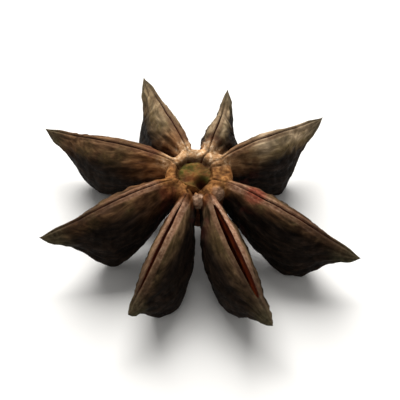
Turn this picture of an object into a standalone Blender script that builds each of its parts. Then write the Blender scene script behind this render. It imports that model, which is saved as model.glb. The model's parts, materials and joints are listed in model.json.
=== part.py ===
"""Star anise: one dried fruit, lying with its open seams up.

Eight boat-shaped carpels have grown together round a short column, so they are one
solid, the pericarp. Each carpel is split along its upper seam and holds one loose seed.
Metres, +Z up. The origin is the middle of the footprint, on the surface it lies on.
"""

import math
from typing import NamedTuple

import bmesh
import bpy
from mathutils import Matrix, Vector, noise

MM = 0.001


class Carpel(NamedTuple):
    """One boat-shaped arm. Its own frame has X along the arm, from the column's axis."""

    azimuth: float  # degrees about +Z, from +X, of its root
    length: float  # from the column's axis to the tip of the beak
    width: float
    droop: float  # degrees that the seam falls from the crown outwards
    slit: float  # widest gap between the two lips of the seam
    bend: float  # how far the tip has turned sideways, to the left seen from the column
    lean: float  # degrees that the keel has swung to that side under the seam
    beak_start: float  # share of the arm's length
    beak_rise: float  # how far the beak curls up above the line of the seam
    clearance: float  # between the keel and the surface: 0 where the carpel is a foot


CARPELS = (
    Carpel(36, 15.7 * MM, 3.6 * MM, 15.3, 0.42 * MM, 0.2 * MM, -6, 0.69, 0.8 * MM, 0),
    Carpel(68, 13.0 * MM, 3.7 * MM, 14.7, 0.42 * MM, 2.1 * MM, -7, 0.54, 0.3 * MM, 0.5 * MM),
    Carpel(113, 16.7 * MM, 3.4 * MM, 16.6, 0.44 * MM, -0.9 * MM, 16, 0.66, 0.3 * MM, 0.3 * MM),
    Carpel(152, 17.8 * MM, 4.0 * MM, 16, 0.46 * MM, -0.2 * MM, 3, 0.73, 0.8 * MM, 0),
    Carpel(202, 17.1 * MM, 4.4 * MM, 12.3, 0.48 * MM, 0.3 * MM, 10, 0.69, 1.0 * MM, 0.4 * MM),
    Carpel(248, 16.9 * MM, 3.8 * MM, 14, 0.62 * MM, -0.6 * MM, 11, 0.78, 0.4 * MM, 0),
    Carpel(288, 18.0 * MM, 4.2 * MM, 14, 0.8 * MM, 1.7 * MM, -6.5, 0.75, 0.4 * MM, 0.3 * MM),
    Carpel(334, 17.9 * MM, 4.4 * MM, 15.6, 0.6 * MM, -0.3 * MM, -8, 0.72, 0.6 * MM, 0),
)

# The whole fruit
CREST_HEIGHT = 8.6 * MM  # of the seams where they leave the crown, above the surface
FOOT_WEAR = 0.2 * MM  # how much of each foot is worn flat

# A carpel, outside
INNER_END = 2.3 * MM  # from the column's axis
CROWN_ROUNDING = 0.8 * MM
SEAM_ARCH = 0.7 * MM
BEAK_START = 0.74  # where the outlines below have it
SIDE_FULLNESS = 1.06  # power of the section's sine: lower is boxier
ROOT_FULLNESS = 1.25  # the same beside the crown
KEEL_FULLNESS = 0.95
BELLY_RISE = 0.12  # how far above mid-depth the section is widest
FOLD = 0.26 * MM  # height of the folds that run along the arm
PUCKER = 0.12 * MM  # height of the small wrinkles across them
LIP_RISE = 0.22 * MM  # the lips stand up along the seam
LIP_SPREAD = (0.32, 0.75)  # radians from the seam over which they fall away
# Outlines as (share of the way from the inner end to the tip, share of the greatest size)
WIDTH_SHARES = (
    (0, 0.36), (0.12, 0.56), (0.3, 0.92), (0.47, 1), (0.63, 0.82),
    (0.77, 0.45), (0.88, 0.28), (0.95, 0.16), (1, 0),
)  # fmt: skip
DEPTH_SHARES = (
    (0, 0.56), (0.12, 0.63), (0.3, 0.83), (0.47, 0.98), (0.56, 1),
    (0.68, 0.79), (0.79, 0.45), (0.88, 0.24), (0.95, 0.13), (1, 0),
)  # fmt: skip

# A carpel, inside
WALL = 0.62 * MM
KEEL_WALL = 0.9 * MM
CAVITY_START = 0.13
CAVITY_END = 0.81
CUT_ABOVE = 1.0 * MM  # how far the cutter stands out of the seam
LIP_DEPTH = 0.5 * MM  # the lips' inner faces run parallel this far down
CAVITY_DEPTH = 2.2 * MM  # below the seam, the cavity has its full width

# A seed
SEED_PLACE = 0.47  # middle of the seed, on the outlines
SEED_REACH = 0.18  # from the middle of the seed to its ends
SEED_HEIGHT = 0.45  # share of the carpel's depth
SEED_THICKNESS = 0.31  # share of the carpel's width
SEED_GAP = 0.66 * MM  # between the seed and the bottom of its cavity
SEED_POINT = 0.2  # how much the end with the scar narrows

# The column and the stub of the stalk: (radius, height above the surface), bottom to top
COLUMN_PROFILE = (
    (0, 1.45 * MM), (0.95 * MM, 1.25 * MM), (1.2 * MM, 1.5 * MM), (1.05 * MM, 2.2 * MM),
    (1.15 * MM, 3.1 * MM), (1.9 * MM, 3.7 * MM), (2.6 * MM, 4.4 * MM), (3.1 * MM, 5.3 * MM),
    (3.4 * MM, 6.5 * MM), (3.5 * MM, 7.5 * MM), (3.35 * MM, 8.15 * MM), (3.0 * MM, 8.45 * MM),
    (2.6 * MM, 8.52 * MM), (2.25 * MM, 8.4 * MM), (2.1 * MM, 8 * MM), (1.97 * MM, 7.95 * MM),
    (1.82 * MM, 8.15 * MM), (1.5 * MM, 8.32 * MM), (0.9 * MM, 8.35 * MM), (0, 8.25 * MM),
)  # fmt: skip
COLUMN_SIDES = 28
GROOVE = 2.0 * MM  # outside this radius the column's top is the crown
LOBE = 0.08  # how far the crown swells at each carpel, as a share of its radius
LOBE_WIDTH = 13  # degrees to each side
CROWN_BREAK = 269  # degrees: here the crown is broken down
BREAK_DEPTH = 1.3 * MM
BREAK_WIDTH = 16  # degrees to each side

# How finely the shapes are cut into faces
CARPEL_SIDES = 22
CARPEL_RINGS = 20
CAVITY_SIDES = 14
CAVITY_RINGS = 14
SEED_SIDES = 14
SEED_RINGS = 10
SLAB = 50 * MM


def clear_scene():
    for old in list(bpy.data.objects):
        bpy.data.objects.remove(old)


def material(name, colour, roughness):
    """A Principled BSDF. These surfaces have no metal in them."""
    made = bpy.data.materials.new(name)
    made.use_nodes = True
    shader = made.node_tree.nodes["Principled BSDF"]
    shader.inputs["Base Color"].default_value = (*colour, 1)
    shader.inputs["Roughness"].default_value = roughness
    shader.inputs["Metallic"].default_value = 0
    made.diffuse_color = (*colour, 1)
    return made


def new_collection(name):
    made = bpy.data.collections.new(name)
    bpy.context.scene.collection.children.link(made)
    return made


def smooth_step(low, high, value):
    share = min(max((value - low) / (high - low), 0), 1)
    return share * share * (3 - 2 * share)


def along(shares, u):
    """The smooth curve through an outline's points, read at u."""
    last = len(shares) - 2
    i = next((k for k in range(last) if u < shares[k + 1][0]), last)
    (u0, v0), (u1, v1) = shares[i], shares[i + 1]

    def slope(k):
        before, after = shares[max(k - 1, 0)], shares[min(k + 1, len(shares) - 1)]
        return (after[1] - before[1]) / (after[0] - before[0])

    t = (u - u0) / (u1 - u0)
    start, end = slope(i) * (u1 - u0), slope(i + 1) * (u1 - u0)
    return (
        v0 * (1 + 2 * t) * (1 - t) ** 2
        + start * t * (1 - t) ** 2
        + v1 * t * t * (3 - 2 * t)
        + end * t * t * (t - 1)
    )


def reach(carpel, u):
    """Distance from the column's axis at a share u of the outlines' length."""
    start = carpel.beak_start
    way = u * start / BEAK_START
    if u > BEAK_START:
        way = 1 - (1 - u) * (1 - start) / (1 - BEAK_START)
    return INNER_END + way * (carpel.length - INNER_END)


def seam_height(carpel, u):
    """Height of the upper seam above the surface."""
    out = reach(carpel, u) - INNER_END - CROWN_ROUNDING
    fall = max(out, 0) * math.tan(math.radians(carpel.droop))
    curl = max((u - BEAK_START) / (1 - BEAK_START), 0) ** 2
    return CREST_HEIGHT - fall + SEAM_ARCH * math.sin(math.pi * u) + carpel.beak_rise * curl


def keel_depth(carpel):
    """Greatest depth below the seam, so that the keel just clears or meets the surface."""
    low = carpel.clearance or -FOOT_WEAR
    steps = [0.3 + 0.01 * k for k in range(50)]
    upright = math.cos(math.radians(carpel.lean))
    return min((seam_height(carpel, u) - low) / along(DEPTH_SHARES, u) for u in steps) / upright


def depth_at(carpel, u):
    return keel_depth(carpel) * along(DEPTH_SHARES, u)


def half_width_at(carpel, u):
    return carpel.width / 2 * along(WIDTH_SHARES, u)


def relief(carpel, u, angle):
    """Height of the folds, wrinkles and lips over the smooth skin."""
    around = Vector((0, math.cos(angle), math.sin(angle)))
    shift = Vector((carpel.azimuth, 0, 0))
    fold = noise.noise(3.4 * around + Vector((3 * u, 0, 0)) + shift)
    pucker = noise.noise(3 * around + Vector((22 * u, 0, 0)) - shift)
    lip = 1 - smooth_step(*LIP_SPREAD, abs(angle))
    ends = smooth_step(0, 0.2, u) * smooth_step(0, 0.12, 1 - u)
    return ends * ((1 - lip) * (FOLD * fold + PUCKER * pucker) + lip * LIP_RISE)


def settle(carpel, u, aside, below):
    """The place in the fruit of a point beside and below the seam."""
    lean = math.radians(carpel.lean) * smooth_step(0, 0.35, u)
    x = reach(carpel, u)
    y = aside * math.cos(lean) + below * math.sin(lean) + carpel.bend * (x / carpel.length) ** 2
    z = seam_height(carpel, u) + aside * math.sin(lean) - below * math.cos(lean)
    return Matrix.Rotation(math.radians(carpel.azimuth), 3, "Z") @ Vector((x, y, z))


def carpel_point(carpel, u, angle):
    """A point of the outer skin. The angle goes round the section, from 0 at the seam."""
    depth = depth_at(carpel, u)
    inward = min((reach(carpel, u) - INNER_END) / CROWN_ROUNDING, 1)
    rounding = math.sqrt(1 - (1 - inward) ** 2)
    root = 1 - smooth_step(0, 0.35, u)
    upper = SIDE_FULLNESS + (ROOT_FULLNESS - SIDE_FULLNESS) * root
    fullness = upper if math.cos(angle) > 0 else KEEL_FULLNESS
    across = math.copysign(abs(math.sin(angle)) ** fullness, math.sin(angle))
    up = math.cos(angle) + BELLY_RISE * math.sin(angle) ** 2
    raised = relief(carpel, u, angle) * rounding
    aside = (half_width_at(carpel, u) * rounding + raised) * across
    below = depth / 2 - (depth / 2 * rounding + raised) * up
    return settle(carpel, u, aside, below)


def closing(u):
    """From 1 in the middle of a cavity to 0 at its two ends."""
    share = (u - CAVITY_START) / (CAVITY_END - CAVITY_START)
    return max(math.sin(math.pi * share), 0)


def cavity_floor(carpel, u):
    """Depth of a cavity below the seam."""
    return (depth_at(carpel, u) - KEEL_WALL) * closing(u) ** 0.3


def cavity_point(carpel, share, angle):
    """A point of the cutter that opens the seam and hollows the carpel."""
    u = CAVITY_START + share * (CAVITY_END - CAVITY_START)
    lips = carpel.slit / 2 * closing(u) ** 0.6
    inside = max(half_width_at(carpel, u) - WALL, 0) * closing(u) ** 0.35
    below = -CUT_ABOVE + (cavity_floor(carpel, u) + CUT_ABOVE) * (1 - math.cos(angle)) / 2
    wide = max(inside, lips)
    half = lips + (wide - lips) * smooth_step(LIP_DEPTH, CAVITY_DEPTH, below)
    rounding = abs(math.sin(angle)) ** (0.25 if math.cos(angle) > 0 else 0.42)
    aside = math.copysign(half * rounding, math.sin(angle))
    return settle(carpel, u, aside, below)


def seed_outline(across):
    """Half-height of the seed as a share, where across runs from -1 at the scar to 1."""
    return math.sqrt(max(1 - across * across, 0)) * (1 + SEED_POINT * across) / 2


def seed_depth(carpel):
    """Depth of the seed's middle below the seam, so that it just clears the cavity's floor."""
    height = SEED_HEIGHT * keel_depth(carpel)
    steps = [-0.95 + 0.1 * k for k in range(20)]
    floors = [cavity_floor(carpel, SEED_PLACE + SEED_REACH * across) for across in steps]
    return min(f - height * seed_outline(a) for f, a in zip(floors, steps)) - SEED_GAP


def seed_point(carpel, across, angle):
    """A point of the seed's skin. The angle goes round the seed from its upper edge."""
    ring = seed_outline(across)
    aside = SEED_THICKNESS * carpel.width * ring * math.sin(angle)
    up = SEED_HEIGHT * keel_depth(carpel) * ring * math.cos(angle)
    return settle(carpel, SEED_PLACE + SEED_REACH * across, aside, seed_depth(carpel) - up)


def moulded_sphere(name, collection, sides, rings, place):
    """A sphere with each vertex moved by place, given its share of the way from the
    lower pole to the upper one and its angle round the axis between them."""
    body = bmesh.new()
    bmesh.ops.create_uvsphere(body, u_segments=sides, v_segments=rings, radius=1)
    for vertex in body.verts:
        x, y, z = vertex.co
        share = 1 - math.acos(max(-1, min(1, z))) / math.pi
        angle = math.atan2(y, x) if abs(z) < 1 - 1e-6 else 0
        vertex.co = place(share, angle)
    body.normal_update()
    bmesh.ops.recalc_face_normals(body, faces=body.faces)
    mesh = bpy.data.meshes.new(name)
    body.to_mesh(mesh)
    body.free()
    made = bpy.data.objects.new(name, mesh)
    collection.objects.link(made)
    return made


def swell(angle, centre, width):
    """From 0 to 1: how near an angle is to a centre and width that are in degrees."""
    away = (math.degrees(angle) - centre + 180) % 360 - 180
    return math.exp(-((away / width) ** 2))


def column_point(share, angle):
    """A point of the column. Its crown has a lobe at each carpel and one broken place."""
    radius, height = COLUMN_PROFILE[round(share * (len(COLUMN_PROFILE) - 1))]
    if radius > GROOVE and height > CREST_HEIGHT / 2:
        height -= BREAK_DEPTH * swell(angle, CROWN_BREAK, BREAK_WIDTH)
        lobes = sum(swell(angle, carpel.azimuth, LOBE_WIDTH) for carpel in CARPELS)
        radius *= 1 + LOBE * (lobes - 0.5)
    return Vector((radius * math.cos(angle), radius * math.sin(angle), height))


def boolean(target, operation, collection):
    cut = target.modifiers.new(operation.lower(), "BOOLEAN")
    cut.operation = operation
    cut.operand_type = "COLLECTION"
    cut.collection = collection
    cut.solver = "EXACT"


def apply_modifiers(target):
    bpy.context.view_layer.update()
    graph = bpy.context.evaluated_depsgraph_get()
    target.data = bpy.data.meshes.new_from_object(target.evaluated_get(graph))
    target.modifiers.clear()


def remove_collection(collection):
    for old in list(collection.objects):
        bpy.data.objects.remove(old)
    bpy.data.collections.remove(collection)


def build_pericarp(parts):
    """The eight carpels fused with the column, then opened along their seams."""
    rings = len(COLUMN_PROFILE) - 1
    column = moulded_sphere("pericarp", parts, COLUMN_SIDES, rings, column_point)
    arms = new_collection("carpels")
    cutters = new_collection("cavities")
    for number, carpel in enumerate(CARPELS, 1):
        moulded_sphere(
            f"carpel_{number}", arms, CARPEL_SIDES, CARPEL_RINGS,
            lambda share, angle, c=carpel: carpel_point(c, spread(share), angle),
        )  # fmt: skip
        moulded_sphere(
            f"cavity_{number}", cutters, CAVITY_SIDES, CAVITY_RINGS,
            lambda share, angle, c=carpel: cavity_point(c, share, angle),
        )  # fmt: skip
    slab(cutters)
    boolean(column, "UNION", arms)
    boolean(column, "DIFFERENCE", cutters)
    apply_modifiers(column)
    remove_collection(arms)
    remove_collection(cutters)
    return column


def spread(share):
    """Evenly spaced rings moved a little towards both ends of the carpel."""
    return share + 0.06 * math.sin(2 * math.pi * share) * (share - 1)


def slab(collection):
    """Wears the lowest spots of the keels flat, so that they stand on the surface."""
    body = bmesh.new()
    bmesh.ops.create_cube(body, size=SLAB)
    bmesh.ops.translate(body, verts=body.verts, vec=(0, 0, -SLAB / 2))
    mesh = bpy.data.meshes.new("surface")
    body.to_mesh(mesh)
    body.free()
    collection.objects.link(bpy.data.objects.new("surface", mesh))


def build_seed(parts, number, carpel):
    return moulded_sphere(
        f"seed_{number}", parts, SEED_SIDES, SEED_RINGS,
        lambda share, angle: seed_point(carpel, -math.cos(math.pi * share), angle),
    )  # fmt: skip


def centre_on_footprint(fruit, others):
    """Moves everything so that the origin is the middle of the fruit's footprint."""
    for axis in (0, 1):
        places = [vertex.co[axis] for vertex in fruit.data.vertices]
        middle = (min(places) + max(places)) / 2
        for piece in (fruit, *others):
            for vertex in piece.data.vertices:
                vertex.co[axis] -= middle


def main():
    clear_scene()
    parts = new_collection("star_anise")
    fruit = build_pericarp(parts)
    seeds = [build_seed(parts, n, carpel) for n, carpel in enumerate(CARPELS, 1)]
    centre_on_footprint(fruit, seeds)
    rind = material("dried_rind", (0.13, 0.075, 0.04), 0.75)
    coat = material("seed_coat", (0.30, 0.12, 0.045), 0.25)
    fruit.data.materials.append(rind)
    fruit.data.shade_smooth()
    fruit.data.set_sharp_from_angle(angle=math.radians(50))
    for seed in seeds:
        seed.data.materials.append(coat)
        seed.data.shade_smooth()


main()
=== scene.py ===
"""The looks of the star anise: its wrinkled rind, seams and crown in full detail, its
glossy seeds, a pale floor, soft studio light and the camera.

The pericarp is shaped again here by the same formulas and sizes as its CAD solid, cut
into finer faces and with finer relief. Metres, +Z up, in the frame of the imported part.
"""

import functools
import json
import math
from typing import NamedTuple

import bmesh
import bpy
import numpy as np
from mathutils import Matrix, Vector, kdtree, noise

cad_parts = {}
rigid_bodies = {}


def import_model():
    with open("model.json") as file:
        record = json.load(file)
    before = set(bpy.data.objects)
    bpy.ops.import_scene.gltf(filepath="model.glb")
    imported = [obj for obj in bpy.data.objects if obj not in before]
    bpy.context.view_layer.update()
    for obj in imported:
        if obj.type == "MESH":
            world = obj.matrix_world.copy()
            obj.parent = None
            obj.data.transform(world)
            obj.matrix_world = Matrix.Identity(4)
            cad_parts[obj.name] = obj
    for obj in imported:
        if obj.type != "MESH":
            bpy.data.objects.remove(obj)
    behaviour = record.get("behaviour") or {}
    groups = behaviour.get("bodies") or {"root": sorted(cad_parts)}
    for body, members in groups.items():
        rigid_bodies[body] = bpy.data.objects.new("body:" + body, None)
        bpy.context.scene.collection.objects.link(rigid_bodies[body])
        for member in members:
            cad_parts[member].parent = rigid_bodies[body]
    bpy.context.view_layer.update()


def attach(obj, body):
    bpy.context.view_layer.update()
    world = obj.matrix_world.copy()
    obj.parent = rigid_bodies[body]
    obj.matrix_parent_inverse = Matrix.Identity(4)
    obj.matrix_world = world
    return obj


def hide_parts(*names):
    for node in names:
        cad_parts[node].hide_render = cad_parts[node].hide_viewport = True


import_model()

MM = 0.001


class Skin(NamedTuple):
    """What a carpel's skin looks like."""

    pallor: float  # from 0, dark brown, to 1, greyer and lighter
    bleach: float  # painted light: how much paler still the outer half is beside the seam
    shade_start: float  # below the seam: from here on painted shade darkens the skin
    shade_full: float  # and here the painted shade is as dark as on the keel
    fresh: tuple  # right and left lip, seen from the column: from 0, worn, to 1, broad and pale
    outer_shade: float  # from 0 to 1: how dark painted shade makes the outer half of the arm
    root_shade: float  # the same of its root: painted shade there
    warmth: float  # and how rusty brown its flanks are there


class Carpel(NamedTuple):
    """One boat-shaped arm. Its own frame has X along the arm, from the column's axis."""

    azimuth: float  # degrees about +Z, from +X, of its root
    length: float  # from the column's axis to the tip of the beak
    width: float
    droop: float  # degrees that the seam falls from the crown outwards
    slit: float  # widest gap between the two lips of the seam
    bend: float  # how far the tip has turned sideways, to the left seen from the column
    lean: float  # degrees that the keel has swung to that side under the seam
    beak_start: float  # share of the arm's length
    beak_rise: float  # how far the beak curls up above the line of the seam
    clearance: float  # between the keel and the surface: 0 where the carpel is a foot
    skin: Skin


SKINS = (
    Skin(0.85, 1.0, 1.0 * MM, 2.6 * MM, (0.2, 0.15), 0, 0.15, 0.5),
    Skin(1.0, 0.4, 0.15 * MM, 1.2 * MM, (0.15, 0.15), 0, 0.85, 0.1),
    Skin(0.7, 0.5, 0.9 * MM, 2.7 * MM, (0.15, 0.15), 0, 0.5, 0.7),
    Skin(0.2, 0, 0.6 * MM, 2.3 * MM, (0.1, 0.1), 0, 0.15, 1.0),
    Skin(0.1, 0, 0.35 * MM, 1.5 * MM, (0.4, 0.4), 0.55, 0, 0.3),
    Skin(0.4, 0, 0.25 * MM, 1.6 * MM, (0.6, 0.65), 0.65, 0.15, 0),
    Skin(0.4, 0, 0.35 * MM, 1.8 * MM, (0.4, 1.0), 0.75, 0.25, 0),
    Skin(0.1, 0, 0.1 * MM, 1.1 * MM, (0.5, 0.5), 0.6, 0, 0),
)

# The arms. Apart from the slits, their sizes and turns are the CAD's. A program fitted most
# of these to the photo's outline, and WIDTH_SHARES and SIDE_FULLNESS below with them. They
# were then rounded, and some changed. The slits, clearances and skins are given one by one.
CARPELS = (
    Carpel(36, 15.7 * MM, 3.6 * MM, 15.3, 0.08 * MM, 0.2 * MM, -6, 0.69, 0.8 * MM, 0, SKINS[0]),
    Carpel(68, 13.0 * MM, 3.7 * MM, 14.7, 0.08 * MM, 2.1 * MM, -7, 0.54, 0.3 * MM, 0.5 * MM, SKINS[1]),
    Carpel(113, 16.7 * MM, 3.4 * MM, 16.6, 0.08 * MM, -0.9 * MM, 16, 0.66, 0.3 * MM, 0.3 * MM, SKINS[2]),
    Carpel(152, 17.8 * MM, 4.0 * MM, 16, 0.08 * MM, -0.2 * MM, 3, 0.73, 0.8 * MM, 0, SKINS[3]),
    Carpel(202, 17.1 * MM, 4.4 * MM, 12.3, 0.1 * MM, 0.3 * MM, 10, 0.69, 1.0 * MM, 0.4 * MM, SKINS[4]),
    Carpel(248, 16.9 * MM, 3.8 * MM, 14, 0.2 * MM, -0.6 * MM, 11, 0.78, 0.4 * MM, 0, SKINS[5]),
    Carpel(288, 18.0 * MM, 4.2 * MM, 14, 0.5 * MM, 1.7 * MM, -6.5, 0.75, 0.4 * MM, 0.3 * MM, SKINS[6]),
    Carpel(334, 17.9 * MM, 4.4 * MM, 15.6, 0.1 * MM, -0.3 * MM, -8, 0.72, 0.6 * MM, 0, SKINS[7]),
)

# The whole fruit, as in the CAD
CREST_HEIGHT = 8.6 * MM  # of the seams where they leave the crown, above the surface
FOOT_WEAR = 0.2 * MM  # how much of each foot is worn flat

# A carpel, outside, as in the CAD
INNER_END = 2.3 * MM  # from the column's axis
CROWN_ROUNDING = 0.8 * MM
SEAM_ARCH = 0.7 * MM
BEAK_START = 0.74  # where the outlines below have it
SIDE_FULLNESS = 1.06  # power of the section's sine: lower is boxier
ROOT_FULLNESS = 1.25  # the same beside the crown
KEEL_FULLNESS = 0.95
BELLY_RISE = 0.12  # how far above mid-depth the section is widest
FOLD = 0.26 * MM  # height of the folds that run along the arm
FOLD_GRAIN = (3.4, 3)  # how fast they change round the arm and along it
PUCKER = 0.12 * MM  # height of the small wrinkles across them
PUCKER_GRAIN = (3, 22)  # how fast these change
LIP_RISE = 0.22 * MM  # the lips stand up along the seam
LIP_SPREAD = (0.32, 0.75)  # radians from the seam over which they fall away
RELIEF_ENDS = (0.2, 0.12)  # shares of the length over which all this grows, at root and tip
ROOT = 0.35  # share of the length at which the root's form has become the arm's own
# Outlines as (share of the way from the inner end to the tip, share of the greatest size)
WIDTH_SHARES = (
    (0, 0.36), (0.12, 0.56), (0.3, 0.92), (0.47, 1), (0.63, 0.82),
    (0.77, 0.45), (0.88, 0.28), (0.95, 0.16), (1, 0),
)  # fmt: skip
DEPTH_SHARES = (
    (0, 0.56), (0.12, 0.63), (0.3, 0.83), (0.47, 0.98), (0.56, 1),
    (0.68, 0.79), (0.79, 0.45), (0.88, 0.24), (0.95, 0.13), (1, 0),
)  # fmt: skip
KEEL_STEPS = [0.3 + 0.01 * k for k in range(50)]  # shares at which the keel may be lowest

# A carpel, inside, as in the CAD
WALL = 0.62 * MM
KEEL_WALL = 0.9 * MM
CAVITY_START = 0.13
CAVITY_END = 0.81
CUT_ABOVE = 1.0 * MM  # how far the cutter stands out of the seam
LIP_DEPTH = 0.5 * MM  # the lips' inner faces run parallel this far down
CAVITY_DEPTH = 2.2 * MM  # below the seam, the cavity has its full width
# How bluntly the slit, the cavity and its floor end, and how boxy the cutter is above and
# below its middle: powers of a sine, and the lower the blunter or boxier
SLIT_TAPER = 0.6
CAVITY_TAPER = 0.35
FLOOR_TAPER = 0.3
CUTTER_ROUNDNESS = (0.25, 0.42)

# A seed, as in the CAD
SEED_PLACE = 0.47  # middle of the seed, on the outlines
SEED_REACH = 0.18  # from the middle of the seed to its ends
SEED_HEIGHT = 0.45  # share of the carpel's depth
SEED_THICKNESS = 0.31  # share of the carpel's width
SEED_GAP = 0.66 * MM  # between the seed and the bottom of its cavity
SEED_POINT = 0.2  # how much the end with the scar narrows
SEED_STEPS = [-0.95 + 0.1 * k for k in range(20)]  # from end to end, where it may be lowest
SEED_EDGE = 0.03  # how far the seed's upper and lower edges stand out, as a share
SEED_EDGE_POWER = 24  # the higher, the sharper they are
SCAR = (-0.97, -0.88)  # on the way from -1 to 1 along the seed, where the scar ends

# The column and the stub of the stalk: (radius, height above the surface), bottom to top
COLUMN_PROFILE = (
    (0, 1.45 * MM), (0.95 * MM, 1.25 * MM), (1.2 * MM, 1.5 * MM), (1.05 * MM, 2.2 * MM),
    (1.15 * MM, 3.1 * MM), (1.9 * MM, 3.7 * MM), (2.6 * MM, 4.4 * MM), (3.1 * MM, 5.3 * MM),
    (3.4 * MM, 6.5 * MM), (3.5 * MM, 7.5 * MM), (3.35 * MM, 8.15 * MM), (3.0 * MM, 8.45 * MM),
    (2.6 * MM, 8.52 * MM), (2.25 * MM, 8.4 * MM), (2.1 * MM, 8 * MM), (1.97 * MM, 7.95 * MM),
    (1.82 * MM, 8.15 * MM), (1.5 * MM, 8.32 * MM), (0.9 * MM, 8.35 * MM), (0, 8.25 * MM),
)  # fmt: skip
GROOVE = 2.0 * MM  # outside this radius the column's top is the crown
GROOVE_EDGE = 0.1 * MM  # the crown begins within this of it
CROWN_BASE = (0.45 * CREST_HEIGHT, 0.55 * CREST_HEIGHT)  # and between these heights
LOBE = 0.08  # how far the crown swells at each carpel, as a share of its radius
LOBE_WIDTH = 13  # degrees to each side
CROWN_BREAK = 269  # degrees: here the crown is broken down
BREAK_DEPTH = 1.3 * MM
BREAK_WIDTH = 16  # degrees to each side

# Finer relief of a carpel, which only the looks have
WRINKLE = 0.15 * MM  # height of the leathery ridges
WRINKLE_COUNT = 0.9  # in a millimetre across the arm
WRINKLE_STRETCH = 0.4  # the same along the arm, as a share of that
WRINKLE_SLANT = 0.7  # they run down the flanks as they run outwards
WRINKLE_ENDS = (0.05, 0.08)  # shares of the length over which they grow, at root and tip
RIDGE_SHARPNESS = 2.6
RIDGE_COARSE = 0.7  # share of the large ridges, beside the small ones
RIDGE_FINER = 2.3  # how much smaller these are
RIDGE_STRAY = 0.55  # how far the ridges stray
RIDGE_TURNS = 0.6  # and how often they turn, for each ridge
ANOTHER_PLACE = Vector((7, 3, 1))  # in the noise, so that the small ridges are others
# Where in the noise they find how far they stray in each direction
STRAY_SPOTS = (Vector((5.2, 1.3, 9.7)), Vector((17.1, 8.4, 3.6)), Vector((2.9, 14.8, 11.5)))
LIP_WIDTH = 0.3 * MM  # of the pale band on each side of the seam, where it is worn
FRESH_LIP = 0.3 * MM  # how much broader it is where it is fresh
LIP_EDGE = 0.12 * MM  # over which it ends
LIP_CALM = 0.85  # how much the lips smooth the wrinkles
LIP_BEVEL = 1.0  # how much wider the slit is at the top, as a share
LIP_BEVEL_DEPTH = (-0.25 * MM, 0.5 * MM)  # below the seam, over which it narrows
RIM = 0.09 * MM  # the lips' edges are rolled up by this
RIM_WIDTH = 0.16 * MM
SUTURE_DEPTH = 0.12 * MM  # of the closed seam, along the beak and over the crown
SUTURE_WIDTH = 0.08 * MM
SUTURE_ENDS = (0.03, 0.05)  # shares of the length over which it deepens, at root and tip
SLIT_WANDER = 0.09 * MM  # how far the open seam strays to each side
SLIT_TURNS = 0.5  # and how often it turns, in a millimetre

# Finer relief of the column. Radii are from its axis, heights above the surface
SQUEEZE = 0.15  # how much narrower the middle of its top is than in the CAD
SHIFT = -0.45 * MM  # and how far it lies aside
SQUEEZE_RADII = (2.1 * MM, 3.1 * MM)  # between which both fade out
SCALLOP = 0.16 * MM  # how far the crown stands up at each carpel
CROWN_SUTURE = 0.1 * MM  # half the width of the seams over the crown
COLUMN_TOP = (0.74 * CREST_HEIGHT, 0.82 * CREST_HEIGHT)  # between which its top begins
BUMPS = (0.16, 0.07)  # millimetres: height of its coarse and its fine bumps
BUMP_COUNTS = (1.1, 3.7)  # of each of them in a millimetre
GROOVE_FILL = 0.25 * MM  # how much shallower the groove is in front than at the back
GROOVE_WIDTH = 0.3 * MM
PIT = (0.2 * MM, -1.05 * MM)  # the dark hole in the top
PIT_RADIUS = 0.5 * MM
PIT_DEPTH = 1.4 * MM
# Woody lumps in the crown's broken place and beside it, and red-brown stains, as
# (middle, radius, strength of the colour), the lengths in millimetres
KNOBS = (((-0.1, -2.85, 7.5), 0.68, 0.95), ((1.75, -2.3, 7.93), 0.7, 0.6))
STAINS = (((5.6, -2.75, 8.35), 0.7, 0.95), ((-3.1, -2.25, 8.1), 0.55, 0.55))
KNOB_ROUGHNESS = (0.4, 0.2)  # shares of the radius, coarse and fine
KNOB_BUMPS = (1.4, 5)  # coarse and fine ones, for each radius
KNOB_FADE = 1.25  # times the radius, where the colour ends
STAIN_FADE = 2.0

# Where two forms meet
JOINT = 0.5 * MM  # how far from a joint its crease is rounded
JOINT_FULL = 0.6  # share of the way back to the joint, from which this is at its strongest
JOINT_PULL = 0.5
JOINT_ROUNDS = 14
SAME_PLACE = 0.001 * MM

# An arm's colours change outwards between two shares of its length
OUTER_SHADE = (0.25, 0.75)  # where painted shade darkens it
ROOT_SHADE = (0.05, 0.6)  # where the painted shade of its root ends
WARM = (0.1, 0.45)  # where the warmth of its root ends
HIGHLIGHT = (0.2, 0.5)  # where painted light makes it paler
# and downwards between two depths below the seam
WARM_DEPTHS = (1.6 * MM, 3.2 * MM)
HIGHLIGHT_DEPTHS = (0.6 * MM, 1.5 * MM)

# Painted light and shade on each form: how much lighter or darker the skin is there, where plain skin is
# at PLAIN
PLAIN = 0.5
WRINKLE_LIGHT = 0.35
FOLD_LIGHT = 0.25
PUCKER_LIGHT = 0.15
SEAM_SHADE = 0.4
BUMP_LIGHTS = (0.4, 0.2)
KNOB_LIGHT = 1.5
PIT_SHADE = 1.5
CROWN_SEAM_SHADE = 0.3
GROOVE_SHADE = 0.7
COLUMN_SHADE = (0.15, 0.6)  # painted shade: how dark the column's side is, above and below
COLUMN_SHADE_HEIGHTS = (0.35, 0.55)  # between these shares of the crest's height

# The crown's pale colour and the darker disk in it: radii from the middle of the column's
# top and heights above the surface, between which they end
CROWN_RADII = (3.2 * MM, 4.6 * MM)
CROWN_HEIGHTS = (7.3 * MM, 8.1 * MM)
DISK_RADIUS = 1.5 * MM
DISK_EDGE = 0.3 * MM
DISK_HEIGHTS = (5 * MM, 5.5 * MM)
# On the way to the back, in millimetres from the middle of the footprint, the crown turns
# from bark to rust and from rust to tan
CROWN_RUST = (-2.8, -1.3)
CROWN_TAN = (0.6, 3.2)

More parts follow.
